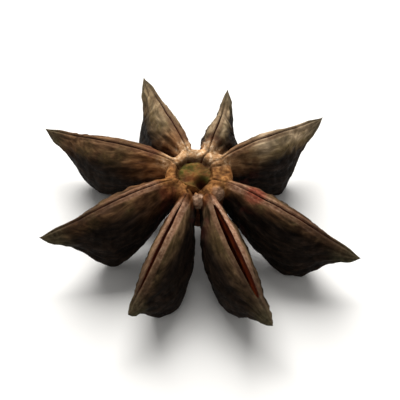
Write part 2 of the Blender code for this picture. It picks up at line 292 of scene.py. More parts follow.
# Noise in the colours: (how much of it in a millimetre, detail, roughness, distortion)
PATCHES = (0.42, 2)
FLECKS = (2.6, 4, 0.65)
STREAKS = (2.4, 4, 0.6, 0.3)
STREAK_STRETCH = 0.22  # how much of them along the arm, as a share of that across
GRIT = (9, 3, 0.6)
DISK_CLOUDS = (0.9, 3)
LINING_FLECKS = (1.4, 3)
FIBRES = (5, 3)
FIBRE_STRETCH = 0.15
COAT_CLOUDS = (0.5, 3)
# and how high its bumps are
STREAK_BUMP = 0.10 * MM
GRIT_BUMP = 0.025 * MM
FIBRE_BUMP = 0.03 * MM

# Colours along such noise, from its low to its high values
BROWN = ((0.3, "2c1a0f"), (0.5, "513521"), (0.72, "785637"))
GREY = ((0.3, "40341f"), (0.5, "6f5c42"), (0.72, "94805f"))
# Painted light: the pale grey beside the seam, on the outer half of the lit arms
HIGHLIGHT_GREY = ((0.3, "6a5a44"), (0.5, "a08a6e"), (0.72, "bda888"))
OLIVE = ((0.3, "272010"), (0.52, "463920"), (0.75, "6c5c38"))
# Painted shade: the near-black of the flanks and of the column's lower side
SHADE_COLOURS = ((0.3, "0b0806"), (0.5, "18110c"), (0.75, "2e221a"))
RUSTY = ((0.3, "402414"), (0.5, "724828"), (0.72, "9a6c44"))
WOOD = ((0.3, "3c1e0e"), (0.5, "5c341c"), (0.72, "7c5030"))
TIP = ((0.3, "232116"), (0.7, "524d38"))
BROWN_LIPS = ((0.3, "4a3020"), (0.5, "6e4c34"), (0.7, "8f6a4c"))
PALE_LIPS = ((0.3, "7a4e3c"), (0.5, "b08468"), (0.7, "d8b398"))
BARK = ((0.3, "43240f"), (0.5, "643a1d"), (0.7, "875a35"))
RUST = ((0.28, "4f2c13"), (0.5, "83562e"), (0.72, "ac7c47"))
TAN = ((0.28, "8a5c34"), (0.5, "c0966b"), (0.72, "f0dabc"))
DISK = ((0.35, "51491d"), (0.5, "735129"), (0.62, "63391b"))
STAIN = ((0.3, "4e2417"), (0.5, "713727"), (0.7, "934f3b"))
KNOB = ((0.3, "6b4c38"), (0.5, "9a7b63"), (0.7, "bd9f86"))
LINING = ((0.3, "5e200f"), (0.55, "8f3d1c"), (0.75, "b0622f"))
# Painted shade in the slits, on the lips' inner faces
SLIT_SHADE = ((0.3, "2c0f08"), (0.7, "4a1e12"))
COAT = ((0.3, "4e220d"), (0.5, "7d4119"), (0.72, "a8642c"))
RED = "43201a"
# The pit's dark red-brown: its own colour and painted shade
HOLE_SHADE_RED = "3c1206"
SCAR_COLOUR = "b79a6c"
PAPER = "f4f2ee"

# How far a colour has taken over: from one value of a mark or of the noise to another it
# goes from none to all of it, or from one share to another
HIGHLIGHT_PALLOR = (1.0, 1.8)
OLIVE_PATCHES = (0.45, 0.62, 0, 0.6)
RED_PATCHES = (0.5, 0.6, 0, 0.8)
RED_OUTWARD = (0.4, 0.1)
TIP_OUTWARD = (0.78, 0.95, 0, 0.8)
LIPS_OUTWARD = (0.2, 0.9, 1.0, 0.25)
LIPS_FRESH = (0, 1, 0.35, 1.0)
HOLE_SHADE_CREST = (0.1, -0.5)
STAIN_STREAKS = (0.3, 0.55, 0.3, 1.0)
# The same for the painted light on the crests and painted shade in the valleys, and for how rough the
# surface is
RELIEF_SHADE_CREST = (0.1, 0.9, 0.45, 1.3)
SEED_EDGE_SHADE = (0.0, 0.25, 0.55, 1.0)
RIND_ROUGHNESS = (0.3, 0.7, 0.55, 0.85)
SCAR_ROUGHNESS = (0, 1, 0.16, 0.7)

# The studio
FLOOR_SIZE = 4
KEY_PLACE = (-0.05, 0.36, 0.38)
KEY_SIZE = 0.45
KEY_POWER = 5.2
FILL_PLACE = (0.1, -0.4, 0.3)
FILL_SIZE = 0.4
FILL_POWER = 0.12
SKY = 0.3

# The camera, in front of the fruit and above it, as in the photograph
VIEW_ELEVATION = 51  # degrees above the surface
VIEW_HEIGHT = 4.7 * MM  # what the camera looks at, on the fruit's middle
VIEW_WIDTH = 40 * MM  # what it takes in there
LENS = 300  # its focal length and sensor in millimetres: the photograph is taken from afar
SENSOR = 36

# How finely the shapes are cut into faces, as (sides, rings)
CARPEL_CUTS = (80, 100)
CAVITY_CUTS = (48, 48)
COLUMN_CUTS = (192, 76)
SEED_CUTS = (40, 32)
KNOB_CUTS = (40, 20)
SEAM_FOCUS = 0.6  # a carpel's sides are closer together at the seam than at the keel
RING_SPREAD = 0.06  # how far its rings are moved towards its ends
SLAB = 50 * MM
SHARP = math.radians(60)  # an edge that turns by more is shaded as an edge


class Marks(NamedTuple):
    """What the colours need to know of a place on the surface."""

    grain: Vector  # the place in millimetres, in the carpel's own directions
    lip: float = 0  # 1 on the lips of a seam, less where painted shade dims them, and on a seed's scar
    crest: float = PLAIN  # painted light and shade: 0 in the valleys between wrinkles and on a seed's edges, up to 1
    flank_shade: float = 0  # painted shade: 0 beside the seam, 1 on the dark flanks
    outward: float = 0  # share of the way from the crown to the tip of the beak
    pallor: float = 0.5  # the carpel's own, and up to 1 more where painted light pales it beside the seam
    fresh: float = 0  # the lip's own
    column: float = 0  # 1 on the column, 0 on the carpels
    warm: float = 0  # 1 where a flank stays rusty brown, beside the column


def new_collection(name):
    made = bpy.data.collections.new(name)
    bpy.context.scene.collection.children.link(made)
    return made


def new_object(name, collection, material, places, faces):
    mesh = bpy.data.meshes.new(name)
    mesh.from_pydata(places, [], faces)
    mesh.materials.append(material)
    made = bpy.data.objects.new(name, mesh)
    collection.objects.link(made)
    return made


def smooth_step(low, high, value):
    share = min(max((value - low) / (high - low), 0), 1)
    return share * share * (3 - 2 * share)


def along(shares, u):
    """The smooth curve through an outline's points, read at u."""
    last = len(shares) - 2
    i = next((k for k in range(last) if u < shares[k + 1][0]), last)
    (u0, v0), (u1, v1) = shares[i], shares[i + 1]

    def slope(k):
        before, after = shares[max(k - 1, 0)], shares[min(k + 1, len(shares) - 1)]
        return (after[1] - before[1]) / (after[0] - before[0])

    t = (u - u0) / (u1 - u0)
    start, end = slope(i) * (u1 - u0), slope(i + 1) * (u1 - u0)
    return (
        v0 * (1 + 2 * t) * (1 - t) ** 2
        + start * t * (1 - t) ** 2
        + v1 * t * t * (3 - 2 * t)
        + end * t * t * (t - 1)
    )


def reach(carpel, u):
    """Distance from the column's axis at a share u of the outlines' length."""
    start = carpel.beak_start
    way = u * start / BEAK_START
    if u > BEAK_START:
        way = 1 - (1 - u) * (1 - start) / (1 - BEAK_START)
    return INNER_END + way * (carpel.length - INNER_END)


@functools.cache
def seam_height(carpel, u):
    """Height of the upper seam above the surface."""
    out = reach(carpel, u) - INNER_END - CROWN_ROUNDING
    fall = max(out, 0) * math.tan(math.radians(carpel.droop))
    curl = max((u - BEAK_START) / (1 - BEAK_START), 0) ** 2
    return CREST_HEIGHT - fall + SEAM_ARCH * math.sin(math.pi * u) + carpel.beak_rise * curl


@functools.cache
def keel_depth(carpel):
    """Greatest depth below the seam, so that the keel just clears or meets the surface."""
    low = carpel.clearance or -FOOT_WEAR
    deep = min((seam_height(carpel, u) - low) / along(DEPTH_SHARES, u) for u in KEEL_STEPS)
    return deep / math.cos(math.radians(carpel.lean))


@functools.cache
def depth_at(carpel, u):
    return keel_depth(carpel) * along(DEPTH_SHARES, u)


@functools.cache
def half_width_at(carpel, u):
    return carpel.width / 2 * along(WIDTH_SHARES, u)


def wander(carpel, u):
    """How far the seam strays to the side."""
    place = Vector((reach(carpel, u) / MM * SLIT_TURNS, carpel.azimuth, 0))
    return SLIT_WANDER * noise.noise(place) * closing(u)


def slit_half_width(carpel, u):
    return carpel.slit / 2 * closing(u) ** SLIT_TAPER


def ridges(place):
    """Leathery wrinkles, from about -1 in their valleys to 1 on their crests."""
    stray = Vector([noise.noise(RIDGE_TURNS * place + spot) for spot in STRAY_SPOTS])
    strayed = place + RIDGE_STRAY * stray
    coarse = 1 - RIDGE_SHARPNESS * abs(noise.noise(strayed))
    fine = 1 - RIDGE_SHARPNESS * abs(noise.noise(RIDGE_FINER * strayed + ANOTHER_PLACE))
    return RIDGE_COARSE * coarse + (1 - RIDGE_COARSE) * fine


def waves(around, u, grain, shift):
    """Uneven waves on an arm, from about -1 to 1."""
    turned, lengthways = grain
    return noise.noise(turned * around + Vector((lengthways * u, 0, 0)) + shift)


def grown(u, ends):
    """From 0 at both ends of an arm to 1 past these shares of its length from them."""
    root, tip = ends
    return smooth_step(0, root, u) * smooth_step(0, tip, 1 - u)


def relief(carpel, u, angle, aside):
    """Height of the folds, wrinkles and lips over the smooth skin, with its marks."""
    around = Vector((0, math.cos(angle), math.sin(angle)))
    shift = Vector((carpel.azimuth, 0, 0))
    fold = waves(around, u, FOLD_GRAIN, shift)
    pucker = waves(around, u, PUCKER_GRAIN, -shift)
    bank = 1 - smooth_step(*LIP_SPREAD, abs(angle))
    ends = grown(u, RELIEF_ENDS)
    height = ends * ((1 - bank) * (FOLD * fold + PUCKER * pucker) + bank * LIP_RISE)

    up = depth_at(carpel, u) / 2 / MM * math.cos(angle)
    grain = Vector((reach(carpel, u) / MM, half_width_at(carpel, u) / MM * math.sin(angle), up))
    slanted = Vector((WRINKLE_STRETCH * (grain.x - WRINKLE_SLANT * up), grain.y, up))
    crest = ridges(WRINKLE_COUNT * slanted + shift)
    near_seam = math.cos(angle) > 0
    edge = abs(aside - wander(carpel, u)) - slit_half_width(carpel, u)
    skin = carpel.skin
    fresh = skin.fresh[aside > wander(carpel, u)]
    wide = LIP_WIDTH + FRESH_LIP * fresh
    lip = near_seam * (1 - smooth_step(wide, wide + LIP_EDGE, edge))
    calm = grown(u, WRINKLE_ENDS) * (1 - LIP_CALM * lip)
    height += WRINKLE * crest * calm
    rim = near_seam * math.exp(-(((edge - RIM_WIDTH) / RIM_WIDTH) ** 2))
    height += RIM * rim * ends
    seam = near_seam * math.exp(-((edge / SUTURE_WIDTH) ** 2))
    height -= SUTURE_DEPTH * seam * grown(u, SUTURE_ENDS)
    # Painted light on the crests, painted shade in the valleys and the seam
    shade = PLAIN + WRINKLE_LIGHT * crest * (1 - lip) - SEAM_SHADE * seam
    shade += FOLD_LIGHT * fold + PUCKER_LIGHT * pucker
    below = depth_at(carpel, u) / 2 - up * MM
    # Painted shade: the outer half or the root of some arms is darker, and so are its lips
    unshaded = 1 - skin.outer_shade * smooth_step(*OUTER_SHADE, u)
    unshaded *= 1 - skin.root_shade * (1 - smooth_step(*ROOT_SHADE, u))
    # Painted shade: the flanks below the seam turn near-black
    lit = unshaded * (1 - smooth_step(skin.shade_start, skin.shade_full, below))
    # Painted light: paler beside the seam on the outer half
    bleach = skin.bleach * smooth_step(*HIGHLIGHT, u) * (1 - smooth_step(*HIGHLIGHT_DEPTHS, below))
    pallor = skin.pallor + bleach
    warm = skin.warmth * (1 - smooth_step(*WARM, u)) * (1 - smooth_step(*WARM_DEPTHS, below))
    return height, Marks(grain, lip * unshaded, shade, 1 - lit, u, pallor, fresh, warm=warm)


def settle(carpel, u, aside, below):
    """The place in the fruit of a point beside and below the seam."""
    lean = math.radians(carpel.lean) * smooth_step(0, ROOT, u)
    x = reach(carpel, u)
    y = aside * math.cos(lean) + below * math.sin(lean) + carpel.bend * (x / carpel.length) ** 2
    z = seam_height(carpel, u) + aside * math.sin(lean) - below * math.cos(lean)
    return Matrix.Rotation(math.radians(carpel.azimuth), 3, "Z") @ Vector((x, y, z))


def carpel_point(carpel, u, angle):
    """A point of the outer skin. The angle goes round the section, from 0 at the seam."""
    depth = depth_at(carpel, u)
    inward = min((reach(carpel, u) - INNER_END) / CROWN_ROUNDING, 1)
    rounding = math.sqrt(1 - (1 - inward) ** 2)
    root = 1 - smooth_step(0, ROOT, u)
    upper = SIDE_FULLNESS + (ROOT_FULLNESS - SIDE_FULLNESS) * root
    fullness = upper if math.cos(angle) > 0 else KEEL_FULLNESS
    across = math.copysign(abs(math.sin(angle)) ** fullness, math.sin(angle))
    up = math.cos(angle) + BELLY_RISE * math.sin(angle) ** 2
    half_width = half_width_at(carpel, u) * rounding
    height, marks = relief(carpel, u, angle, half_width * across)
    raised = height * rounding
    aside = (half_width + raised) * across
    below = depth / 2 - (depth / 2 * rounding + raised) * up
    return settle(carpel, u, aside, below), marks


def closing(u):
    """From 1 in the middle of a cavity to 0 at its two ends and beyond them."""
    share = (u - CAVITY_START) / (CAVITY_END - CAVITY_START)
    return max(math.sin(math.pi * min(max(share, 0), 1)), 0)


def cavity_floor(carpel, u):
    """Depth of a cavity below the seam."""
    return (depth_at(carpel, u) - KEEL_WALL) * closing(u) ** FLOOR_TAPER


def cavity_point(carpel, share, angle):
    """A point of the cutter that opens the seam and hollows the carpel."""
    u = CAVITY_START + share * (CAVITY_END - CAVITY_START)
    lips = slit_half_width(carpel, u)
    inside = max(half_width_at(carpel, u) - WALL, 0) * closing(u) ** CAVITY_TAPER
    below = -CUT_ABOVE + (cavity_floor(carpel, u) + CUT_ABOVE) * (1 - math.cos(angle)) / 2
    deep = smooth_step(LIP_DEPTH, CAVITY_DEPTH, below)
    lips *= 1 + LIP_BEVEL * (1 - smooth_step(*LIP_BEVEL_DEPTH, below))
    half = lips + (max(inside, lips) - lips) * deep
    roundness = CUTTER_ROUNDNESS[0] if math.cos(angle) > 0 else CUTTER_ROUNDNESS[1]
    rounding = abs(math.sin(angle)) ** roundness
    aside = math.copysign(half * rounding, math.sin(angle)) + wander(carpel, u) * (1 - deep)
    lip = 1 - smooth_step(0, LIP_DEPTH, below)
    grain = Vector((reach(carpel, u), aside, below)) / MM
    marks = Marks(grain, lip, outward=u, pallor=carpel.skin.pallor)
    return settle(carpel, u, aside, below), marks


def seed_outline(across):
    """Half-height of the seed as a share, where across runs from -1 at the scar to 1."""
    return math.sqrt(max(1 - across * across, 0)) * (1 + SEED_POINT * across) / 2


@functools.cache
def seed_depth(carpel):
    """Depth of the seed's middle below the seam, so that it just clears the cavity's floor."""
    height = SEED_HEIGHT * keel_depth(carpel)
    floors = [cavity_floor(carpel, SEED_PLACE + SEED_REACH * across) for across in SEED_STEPS]
    return min(f - height * seed_outline(a) for f, a in zip(floors, SEED_STEPS)) - SEED_GAP


def seed_point(carpel, across, angle):
    """A point of the seed's skin. The angle goes round the seed from its upper edge."""
    ring = seed_outline(across)
    aside = SEED_THICKNESS * carpel.width * ring * math.sin(angle)
    up = SEED_HEIGHT * keel_depth(carpel) * ring * math.cos(angle)
    edge = abs(math.cos(angle)) ** SEED_EDGE_POWER
    up *= 1 + SEED_EDGE * edge
    grain = Vector((across, math.sin(angle), math.cos(angle)))
    place = settle(carpel, SEED_PLACE + SEED_REACH * across, aside, seed_depth(carpel) - up)
    scar = 1 - smooth_step(*SCAR, across)
    return place, Marks(grain, scar, 1 - edge)


def inside_out(mesh):
    """Whether a closed mesh has faces that look inwards."""
    body = bmesh.new()
    body.from_mesh(mesh)
    volume = body.calc_volume(signed=True)
    body.free()
    return volume < 0


def moulded_sphere(name, collection, material, cuts, place):
    """A sphere with each vertex moved by place, given its share of the way from the
    lower pole to the upper one and its angle round the axis between them. Returned with
    the marks that place gives, in the order of the vertices."""
    sides, rings = cuts
    angles = [math.pi * (2 * side / sides - 1) for side in range(sides)]
    spots = [(ring / rings, angle) for ring in range(1, rings) for angle in angles]
    marks = [place(share, angle) for share, angle in [(0, 0), *spots, (1, 0)]]
    last = len(marks) - 1
    around = [(side, (side + 1) % sides) for side in range(sides)]
    faces = [(0, 1 + t, 1 + s) for s, t in around]
    for low in range(1, last - sides, sides):
        faces += [(low + s, low + t, low + sides + t, low + sides + s) for s, t in around]
    faces += [(last - sides + s, last - sides + t, last) for s, t in around]
    made = new_object(name, collection, material, [point for point, _ in marks], faces)
    if inside_out(made.data):
        made.data.flip_normals()
    return made, marks


def swell(angle, centre, width):
    """From 0 to 1: how near an angle is to a centre and width that are in degrees."""
    away = (math.degrees(angle) - centre + 180) % 360 - 180
    return math.exp(-((away / width) ** 2))


@functools.cache
def profile_at(share):
    """Radius and height of the column at a share of its profile's points."""
    last = len(COLUMN_PROFILE) - 1
    spots = [k / last for k in range(last + 1)]
    radii = tuple(zip(spots, (r for r, _ in COLUMN_PROFILE)))
    heights = tuple(zip(spots, (h for _, h in COLUMN_PROFILE)))
    return max(along(radii, share), 0), along(heights, share)


def column_point(share, angle):
    """A point of the column. Its crown has a lobe at each carpel and one broken place."""
    radius, height = profile_at(share)
    crown = smooth_step(GROOVE - GROOVE_EDGE, GROOVE + GROOVE_EDGE, radius)
    crown *= smooth_step(*CROWN_BASE, height)
    height -= crown * BREAK_DEPTH * swell(angle, CROWN_BREAK, BREAK_WIDTH)
    lobes = sum(swell(angle, carpel.azimuth, LOBE_WIDTH) for carpel in CARPELS)
    radius *= 1 + crown * LOBE * (lobes - 0.5)
    height += crown * SCALLOP * lobes
    asides = (radius * math.sin(angle - math.radians(c.azimuth)) for c in CARPELS)
    suture = crown * sum(math.exp(-((aside / CROWN_SUTURE) ** 2)) for aside in asides)
    height -= SUTURE_DEPTH * suture
    middle = (1 - smooth_step(*SQUEEZE_RADII, radius)) * (height > CREST_HEIGHT / 2)
    wide = radius * (1 - SQUEEZE * middle)
    x, y = wide * math.cos(angle) + SHIFT * middle, wide * math.sin(angle)
    grain = Vector((x, y, height)) / MM
    rough, fine = (noise.noise(count * grain) for count in BUMP_COUNTS)
    top = smooth_step(*COLUMN_TOP, height)
    groove = math.exp(-(((radius - GROOVE) / GROOVE_WIDTH) ** 2)) * top
    front = (1 - math.sin(angle)) / 2
    height += GROOVE_FILL * groove * front + top * MM * (BUMPS[0] * rough + BUMPS[1] * fine)
    pit = top * math.exp(-((math.hypot(x - PIT[0], y - PIT[1]) / PIT_RADIUS) ** 2))
    height -= PIT_DEPTH * pit
    # Painted light on the bumps, painted shade in the pit, the seams over the crown and the groove
    shade = PLAIN + BUMP_LIGHTS[0] * rough + BUMP_LIGHTS[1] * fine
    shade -= PIT_SHADE * pit + CROWN_SEAM_SHADE * suture + GROOVE_SHADE * groove * (1 - front)
    above, below = COLUMN_SHADE
    # Painted shade on the column's side, darker lower down
    dark = below + (above - below) * smooth_step(*COLUMN_SHADE_HEIGHTS, height / CREST_HEIGHT)
    marks = Marks(grain, crest=shade, flank_shade=dark * (1 - top), column=1)
    return Vector((x, y, height)), marks


def knob_point(middle, radius, share, angle):
    """A point of a woody lump. All lengths are in millimetres until the end."""
    ring = math.sin(math.pi * share)
    way = Vector((ring * math.cos(angle), ring * math.sin(angle), -math.cos(math.pi * share)))
    coarse = noise.noise(KNOB_BUMPS[0] * way + Vector(middle))
    fine = noise.noise(KNOB_BUMPS[1] * way)
    rough = KNOB_ROUGHNESS[0] * coarse + KNOB_ROUGHNESS[1] * fine
    grain = Vector(middle) + radius * (1 + rough) * way
    return grain * MM, Marks(grain, crest=PLAIN + KNOB_LIGHT * rough, column=1)


def boolean(target, operation, collection):
    cut = target.modifiers.new(operation.lower(), "BOOLEAN")
    cut.operation = operation
    cut.operand_type = "COLLECTION"
    cut.collection = collection
    cut.solver = "MANIFOLD"
    cut.material_mode = "TRANSFER"


def apply_modifiers(target):
    bpy.context.view_layer.update()
    graph = bpy.context.evaluated_depsgraph_get()
    target.data = bpy.data.meshes.new_from_object(target.evaluated_get(graph))
    target.modifiers.clear()


def remove_collection(collection):
    for old in list(collection.objects):
        bpy.data.objects.remove(old)
    bpy.data.collections.remove(collection)


def spread(share):
    """Evenly spaced rings moved a little towards both ends of the carpel."""
    return share + RING_SPREAD * math.sin(2 * math.pi * share) * (share - 1)


def focus(angle):
    """Evenly spaced angles moved towards the seam."""
    return angle - SEAM_FOCUS * math.sin(angle)


def slab(collection, material):
    """Wears the lowest spots of the keels flat, so that they stand on the surface."""
    sides = (-SLAB / 2, SLAB / 2)
    places = [(x, y, z) for x in sides for y in sides for z in (-SLAB, 0)]
    faces = (
        (0, 1, 3, 2), (4, 6, 7, 5), (0, 4, 5, 1), (2, 3, 7, 6), (0, 2, 6, 4), (1, 5, 7, 3),
    )  # fmt: skip
    return new_object("surface", collection, material, places, faces)


def tree_of(places):
    """For finding the nearest of some places."""
    tree = kdtree.KDTree(len(places))
    for i, place in enumerate(places):
        tree.insert(place, i)
    tree.balance()
    return tree


def soften_joints(piece, marks):
    """Rounds the creases in which the carpels meet the column and one another. A vertex
    that a Boolean has made lies on such a crease and is none of the shaped points."""
    shaped = tree_of([place for place, _ in marks])
    body = bmesh.new()
    body.from_mesh(piece.data)
    joints = [v.co.copy() for v in body.verts if shaped.find(v.co)[2] > SAME_PLACE]
    tree = tree_of(joints)
    near = [(v, 1 - tree.find(v.co)[2] / JOINT) for v in body.verts]
    near = [(v, weight) for v, weight in near if weight > 0]
    rings = [[edge.other_vert(v) for edge in v.link_edges] for v, _ in near]
    rings = [sorted(ring, key=lambda w: w.index) for ring in rings]
    for _ in range(JOINT_ROUNDS):
        middles = [sum((w.co for w in ring), Vector()) / len(ring) for ring in rings]
        for (v, weight), middle in zip(near, middles):
            v.co = v.co.lerp(middle, JOINT_PULL * smooth_step(0, JOINT_FULL, weight))
    body.to_mesh(piece.data)
    body.free()


def write_layer(piece, name, values):
    """Keeps a number for each vertex, or a vector for its grain, under a name."""
    kind, key = ("FLOAT_VECTOR", "vector") if name == "grain" else ("FLOAT", "value")
    layer = piece.data.attributes.new(name, kind, "POINT")
    layer.data.foreach_set(key, np.array(values, np.float32).ravel())


def write_marks(piece, marks):
    """Gives each vertex the marks of the nearest shaped point, for its material to read."""
    tree = tree_of([place for place, _ in marks])
    found = [marks[tree.find(vertex.co)[1]][1] for vertex in piece.data.vertices]
    for name in Marks._fields:
        write_layer(piece, name, [getattr(mark, name) for mark in found])


def nearness(place, spots, fade):
    """How strong the nearest of some spots is, falling to 0 at fade times its radius."""
    return max(
        strength * (1 - smooth_step(1, fade, (place / MM - Vector(middle)).length / radius))
        for middle, radius, strength in spots
    )


def crown_at(place):
    """1 on the column's top and on the inner ends of the carpels that meet it."""
    far = math.hypot(place.x - SHIFT, place.y)
    return smooth_step(*CROWN_HEIGHTS, place.z) * (1 - smooth_step(*CROWN_RADII, far))


def disk_at(place):
    """1 on the disk in the middle of the column's top."""
    far = math.hypot(place.x - SHIFT, place.y)
    inside = 1 - smooth_step(DISK_RADIUS, DISK_RADIUS + DISK_EDGE, far)
    return inside * smooth_step(*DISK_HEIGHTS, place.z)


def write_places(piece):
    """Marks the crown, the disk, the knobs and the stains."""
    places = [vertex.co for vertex in piece.data.vertices]
    write_layer(piece, "crown", [crown_at(place) for place in places])
    write_layer(piece, "disk", [disk_at(place) for place in places])
    write_layer(piece, "knob", [nearness(place, KNOBS, KNOB_FADE) for place in places])
    write_layer(piece, "stain", [nearness(place, STAINS, STAIN_FADE) for place in places])


def build_pericarp(parts, rind, lining):
    """The eight carpels fused with the column, then opened along their seams."""
    column, marks = moulded_sphere("pericarp_skin", parts, rind, COLUMN_CUTS, column_point)
    arms = new_collection("carpels")
    cutters = new_collection("cavities")
    for number, carpel in enumerate(CARPELS, 1):
        _, arm_marks = moulded_sphere(
            f"carpel_{number}", arms, rind, CARPEL_CUTS,
            lambda share, angle, c=carpel: carpel_point(c, spread(share), focus(angle)),
        )  # fmt: skip
        _, cavity_marks = moulded_sphere(
            f"cavity_{number}", cutters, lining, CAVITY_CUTS,
            lambda share, angle, c=carpel: cavity_point(c, share, angle),
        )  # fmt: skip
        marks += arm_marks + cavity_marks
    for number, knob in enumerate(KNOBS, 1):
        _, knob_marks = moulded_sphere(
            f"knob_{number}", arms, rind, KNOB_CUTS,
            lambda share, angle, k=knob: knob_point(*k[:2], share, angle),
        )  # fmt: skip
        marks += knob_marks
    slab(cutters, rind)
    boolean(column, "UNION", arms)
    apply_modifiers(column)
    soften_joints(column, marks)
    boolean(column, "DIFFERENCE", cutters)
    apply_modifiers(column)
    remove_collection(arms)
    remove_collection(cutters)
    write_marks(column, marks)
    write_places(column)
    column.data.shade_smooth()
    column.data.set_sharp_from_angle(angle=SHARP)
    return column


def build_seed(parts, number, carpel, coat):
    seed, marks = moulded_sphere(
        f"seed_coat_{number}", parts, coat, SEED_CUTS,
        lambda share, angle: seed_point(carpel, -math.cos(math.pi * share), angle),
    )  # fmt: skip
    write_marks(seed, marks)
    seed.data.shade_smooth()
    return seed


def centre_on_footprint(fruit, others):
    """Moves everything so that the middle of the fruit's footprint is the origin."""
    for axis in (0, 1):
        places = [vertex.co[axis] for vertex in fruit.data.vertices]
        middle = (min(places) + max(places)) / 2
        for piece in (fruit, *others):
            for vertex in piece.data.vertices:
                vertex.co[axis] -= middle


def colour(code):
    """A colour for a shader from the red, green and blue of a screen, as six hex digits."""
    channels = [int(code[k : k + 2], 16) / 255 for k in (0, 2, 4)]
    linear = [c / 12.92 if c <= 0.04045 else ((c + 0.055) / 1.055) ** 2.4 for c in channels]
    return (*linear, 1)


def add(tree, kind, inputs=None, **settings):
    """A new node. Each of its inputs is given as a value or as another node's output."""
    made = tree.nodes.new(kind)
    for name, value in settings.items():
        setattr(made, name, value)
    for name, value in (inputs or {}).items():
        if isinstance(value, bpy.types.NodeSocket):
            tree.links.new(value, made.inputs[name])
        else:
            made.inputs[name].default_value = value
    return made


def mark(tree, name):
    output = "Vector" if name == "grain" else "Fac"
    return add(tree, "ShaderNodeAttribute", attribute_name=name).outputs[output]


def millimetres(tree):
    """The place on the object, in millimetres."""
    place = add(tree, "ShaderNodeTexCoord").outputs["Object"]
    inputs = {0: place, "Scale": 1 / MM}
    return add(tree, "ShaderNodeVectorMath", inputs, operation="SCALE").outputs[0]


def stretched(tree, grain, stretch):
    inputs = {0: grain, 1: (stretch, 1, 1)}
    return add(tree, "ShaderNodeVectorMath", inputs, operation="MULTIPLY").outputs[0]


def mottle(tree, place, scale, detail=3, roughness=0.55, distortion=0):
    inputs = {
        "Vector": place,
        "Scale": scale,
        "Detail": detail,
        "Roughness": roughness,
        "Distortion": distortion,
    }
    return add(tree, "ShaderNodeTexNoise", inputs).outputs["Fac"]


def ranged(tree, value, low, high, start=0, end=1):
    inputs = {
        "Value": value,
        "From Min": low,
        "From Max": high,
        "To Min": start,
        "To Max": end,
    }
    kind = "SMOOTHSTEP"
    return add(tree, "ShaderNodeMapRange", inputs, interpolation_type=kind).outputs["Result"]


def times(tree, one, other):
    inputs = {0: one, 1: other}
    return add(tree, "ShaderNodeMath", inputs, operation="MULTIPLY").outputs[0]


def blend(tree, factor, one, other, kind="MIX"):
    """One colour turning into another as the factor goes from 0 to 1."""
    inputs = {0: factor, 6: one, 7: other}
    return add(tree, "ShaderNodeMix", inputs, data_type="RGBA", blend_type=kind).outputs[2]


def ramp(tree, factor, stops):
    made = add(tree, "ShaderNodeValToRGB", {"Fac": factor})
    elements = made.color_ramp.elements
    for _ in range(len(stops) - 2):
        elements.new(0.5)
    for element, (place, code) in zip(elements, stops):
        element.position = place
        element.color = colour(code)
    return made.outputs["Color"]


def bumped(tree, height, distance, normal=None):
    inputs = {"Height": height, "Distance": distance, "Strength": 1.0}
    if normal is not None:
        inputs["Normal"] = normal
    return add(tree, "ShaderNodeBump", inputs).outputs["Normal"]


def new_material(name, shown):
    """A material with only its Principled BSDF, and its node tree. shown is its plain colour."""
    made = bpy.data.materials.new(name)
    made.use_nodes = True
    made.diffuse_color = colour(shown)
    return made, made.node_tree, made.node_tree.nodes["Principled BSDF"]


def arm_colour(tree, place, streaks, flecks, worn):
    """An arm's skin: brown to grey, with olive patches, a rusty or reddish root and an olive tip,
    paler with painted light beside the seam on some arms, near-black with painted shade on the flanks,
    and with painted light and shade on its relief. The column below its crown is woody, with painted
    shade lower down."""
    pallor, flank_shade, outward = (mark(tree, name) for name in ("pallor", "flank_shade", "outward"))
    patches = mottle(tree, place, *PATCHES)
    skin = blend(tree, pallor, ramp(tree, streaks, BROWN), ramp(tree, streaks, GREY))
    # Painted light beside the seam
    highlight_share = ranged(tree, pallor, *HIGHLIGHT_PALLOR)
    skin = blend(tree, highlight_share, skin, ramp(tree, streaks, HIGHLIGHT_GREY))
    olive = ranged(tree, patches, *OLIVE_PATCHES)
    skin = blend(tree, olive, skin, ramp(tree, flecks, OLIVE))
    # Painted shade on the flanks
    dark = ramp(tree, streaks, SHADE_COLOURS)
    skin = blend(tree, flank_shade, skin, dark)
    skin = blend(tree, mark(tree, "warm"), skin, ramp(tree, streaks, RUSTY))
    skin = blend(tree, 1.0, skin, worn, "MULTIPLY")
    red = times(tree, ranged(tree, patches, *RED_PATCHES), ranged(tree, outward, *RED_OUTWARD))
    skin = blend(tree, red, skin, colour(RED))
    # Painted shade on the column's side
    wood = blend(tree, flank_shade, ramp(tree, flecks, WOOD), dark)
    wood = blend(tree, 1.0, wood, worn, "MULTIPLY")
    skin = blend(tree, mark(tree, "column"), skin, wood)
    tip = ranged(tree, outward, *TIP_OUTWARD)
    return blend(tree, tip, skin, ramp(tree, flecks, TIP))


def with_lips(tree, skin, flecks):
    """Adds the lips of the seams, broad and pale where they are fresh."""
    fresh = mark(tree, "fresh")
    inward = ranged(tree, mark(tree, "outward"), *LIPS_OUTWARD)
    lips = times(tree, mark(tree, "lip"), inward)
    lips = times(tree, lips, ranged(tree, fresh, *LIPS_FRESH))
    shown = blend(tree, fresh, ramp(tree, flecks, BROWN_LIPS), ramp(tree, flecks, PALE_LIPS))
    return blend(tree, lips, skin, shown)


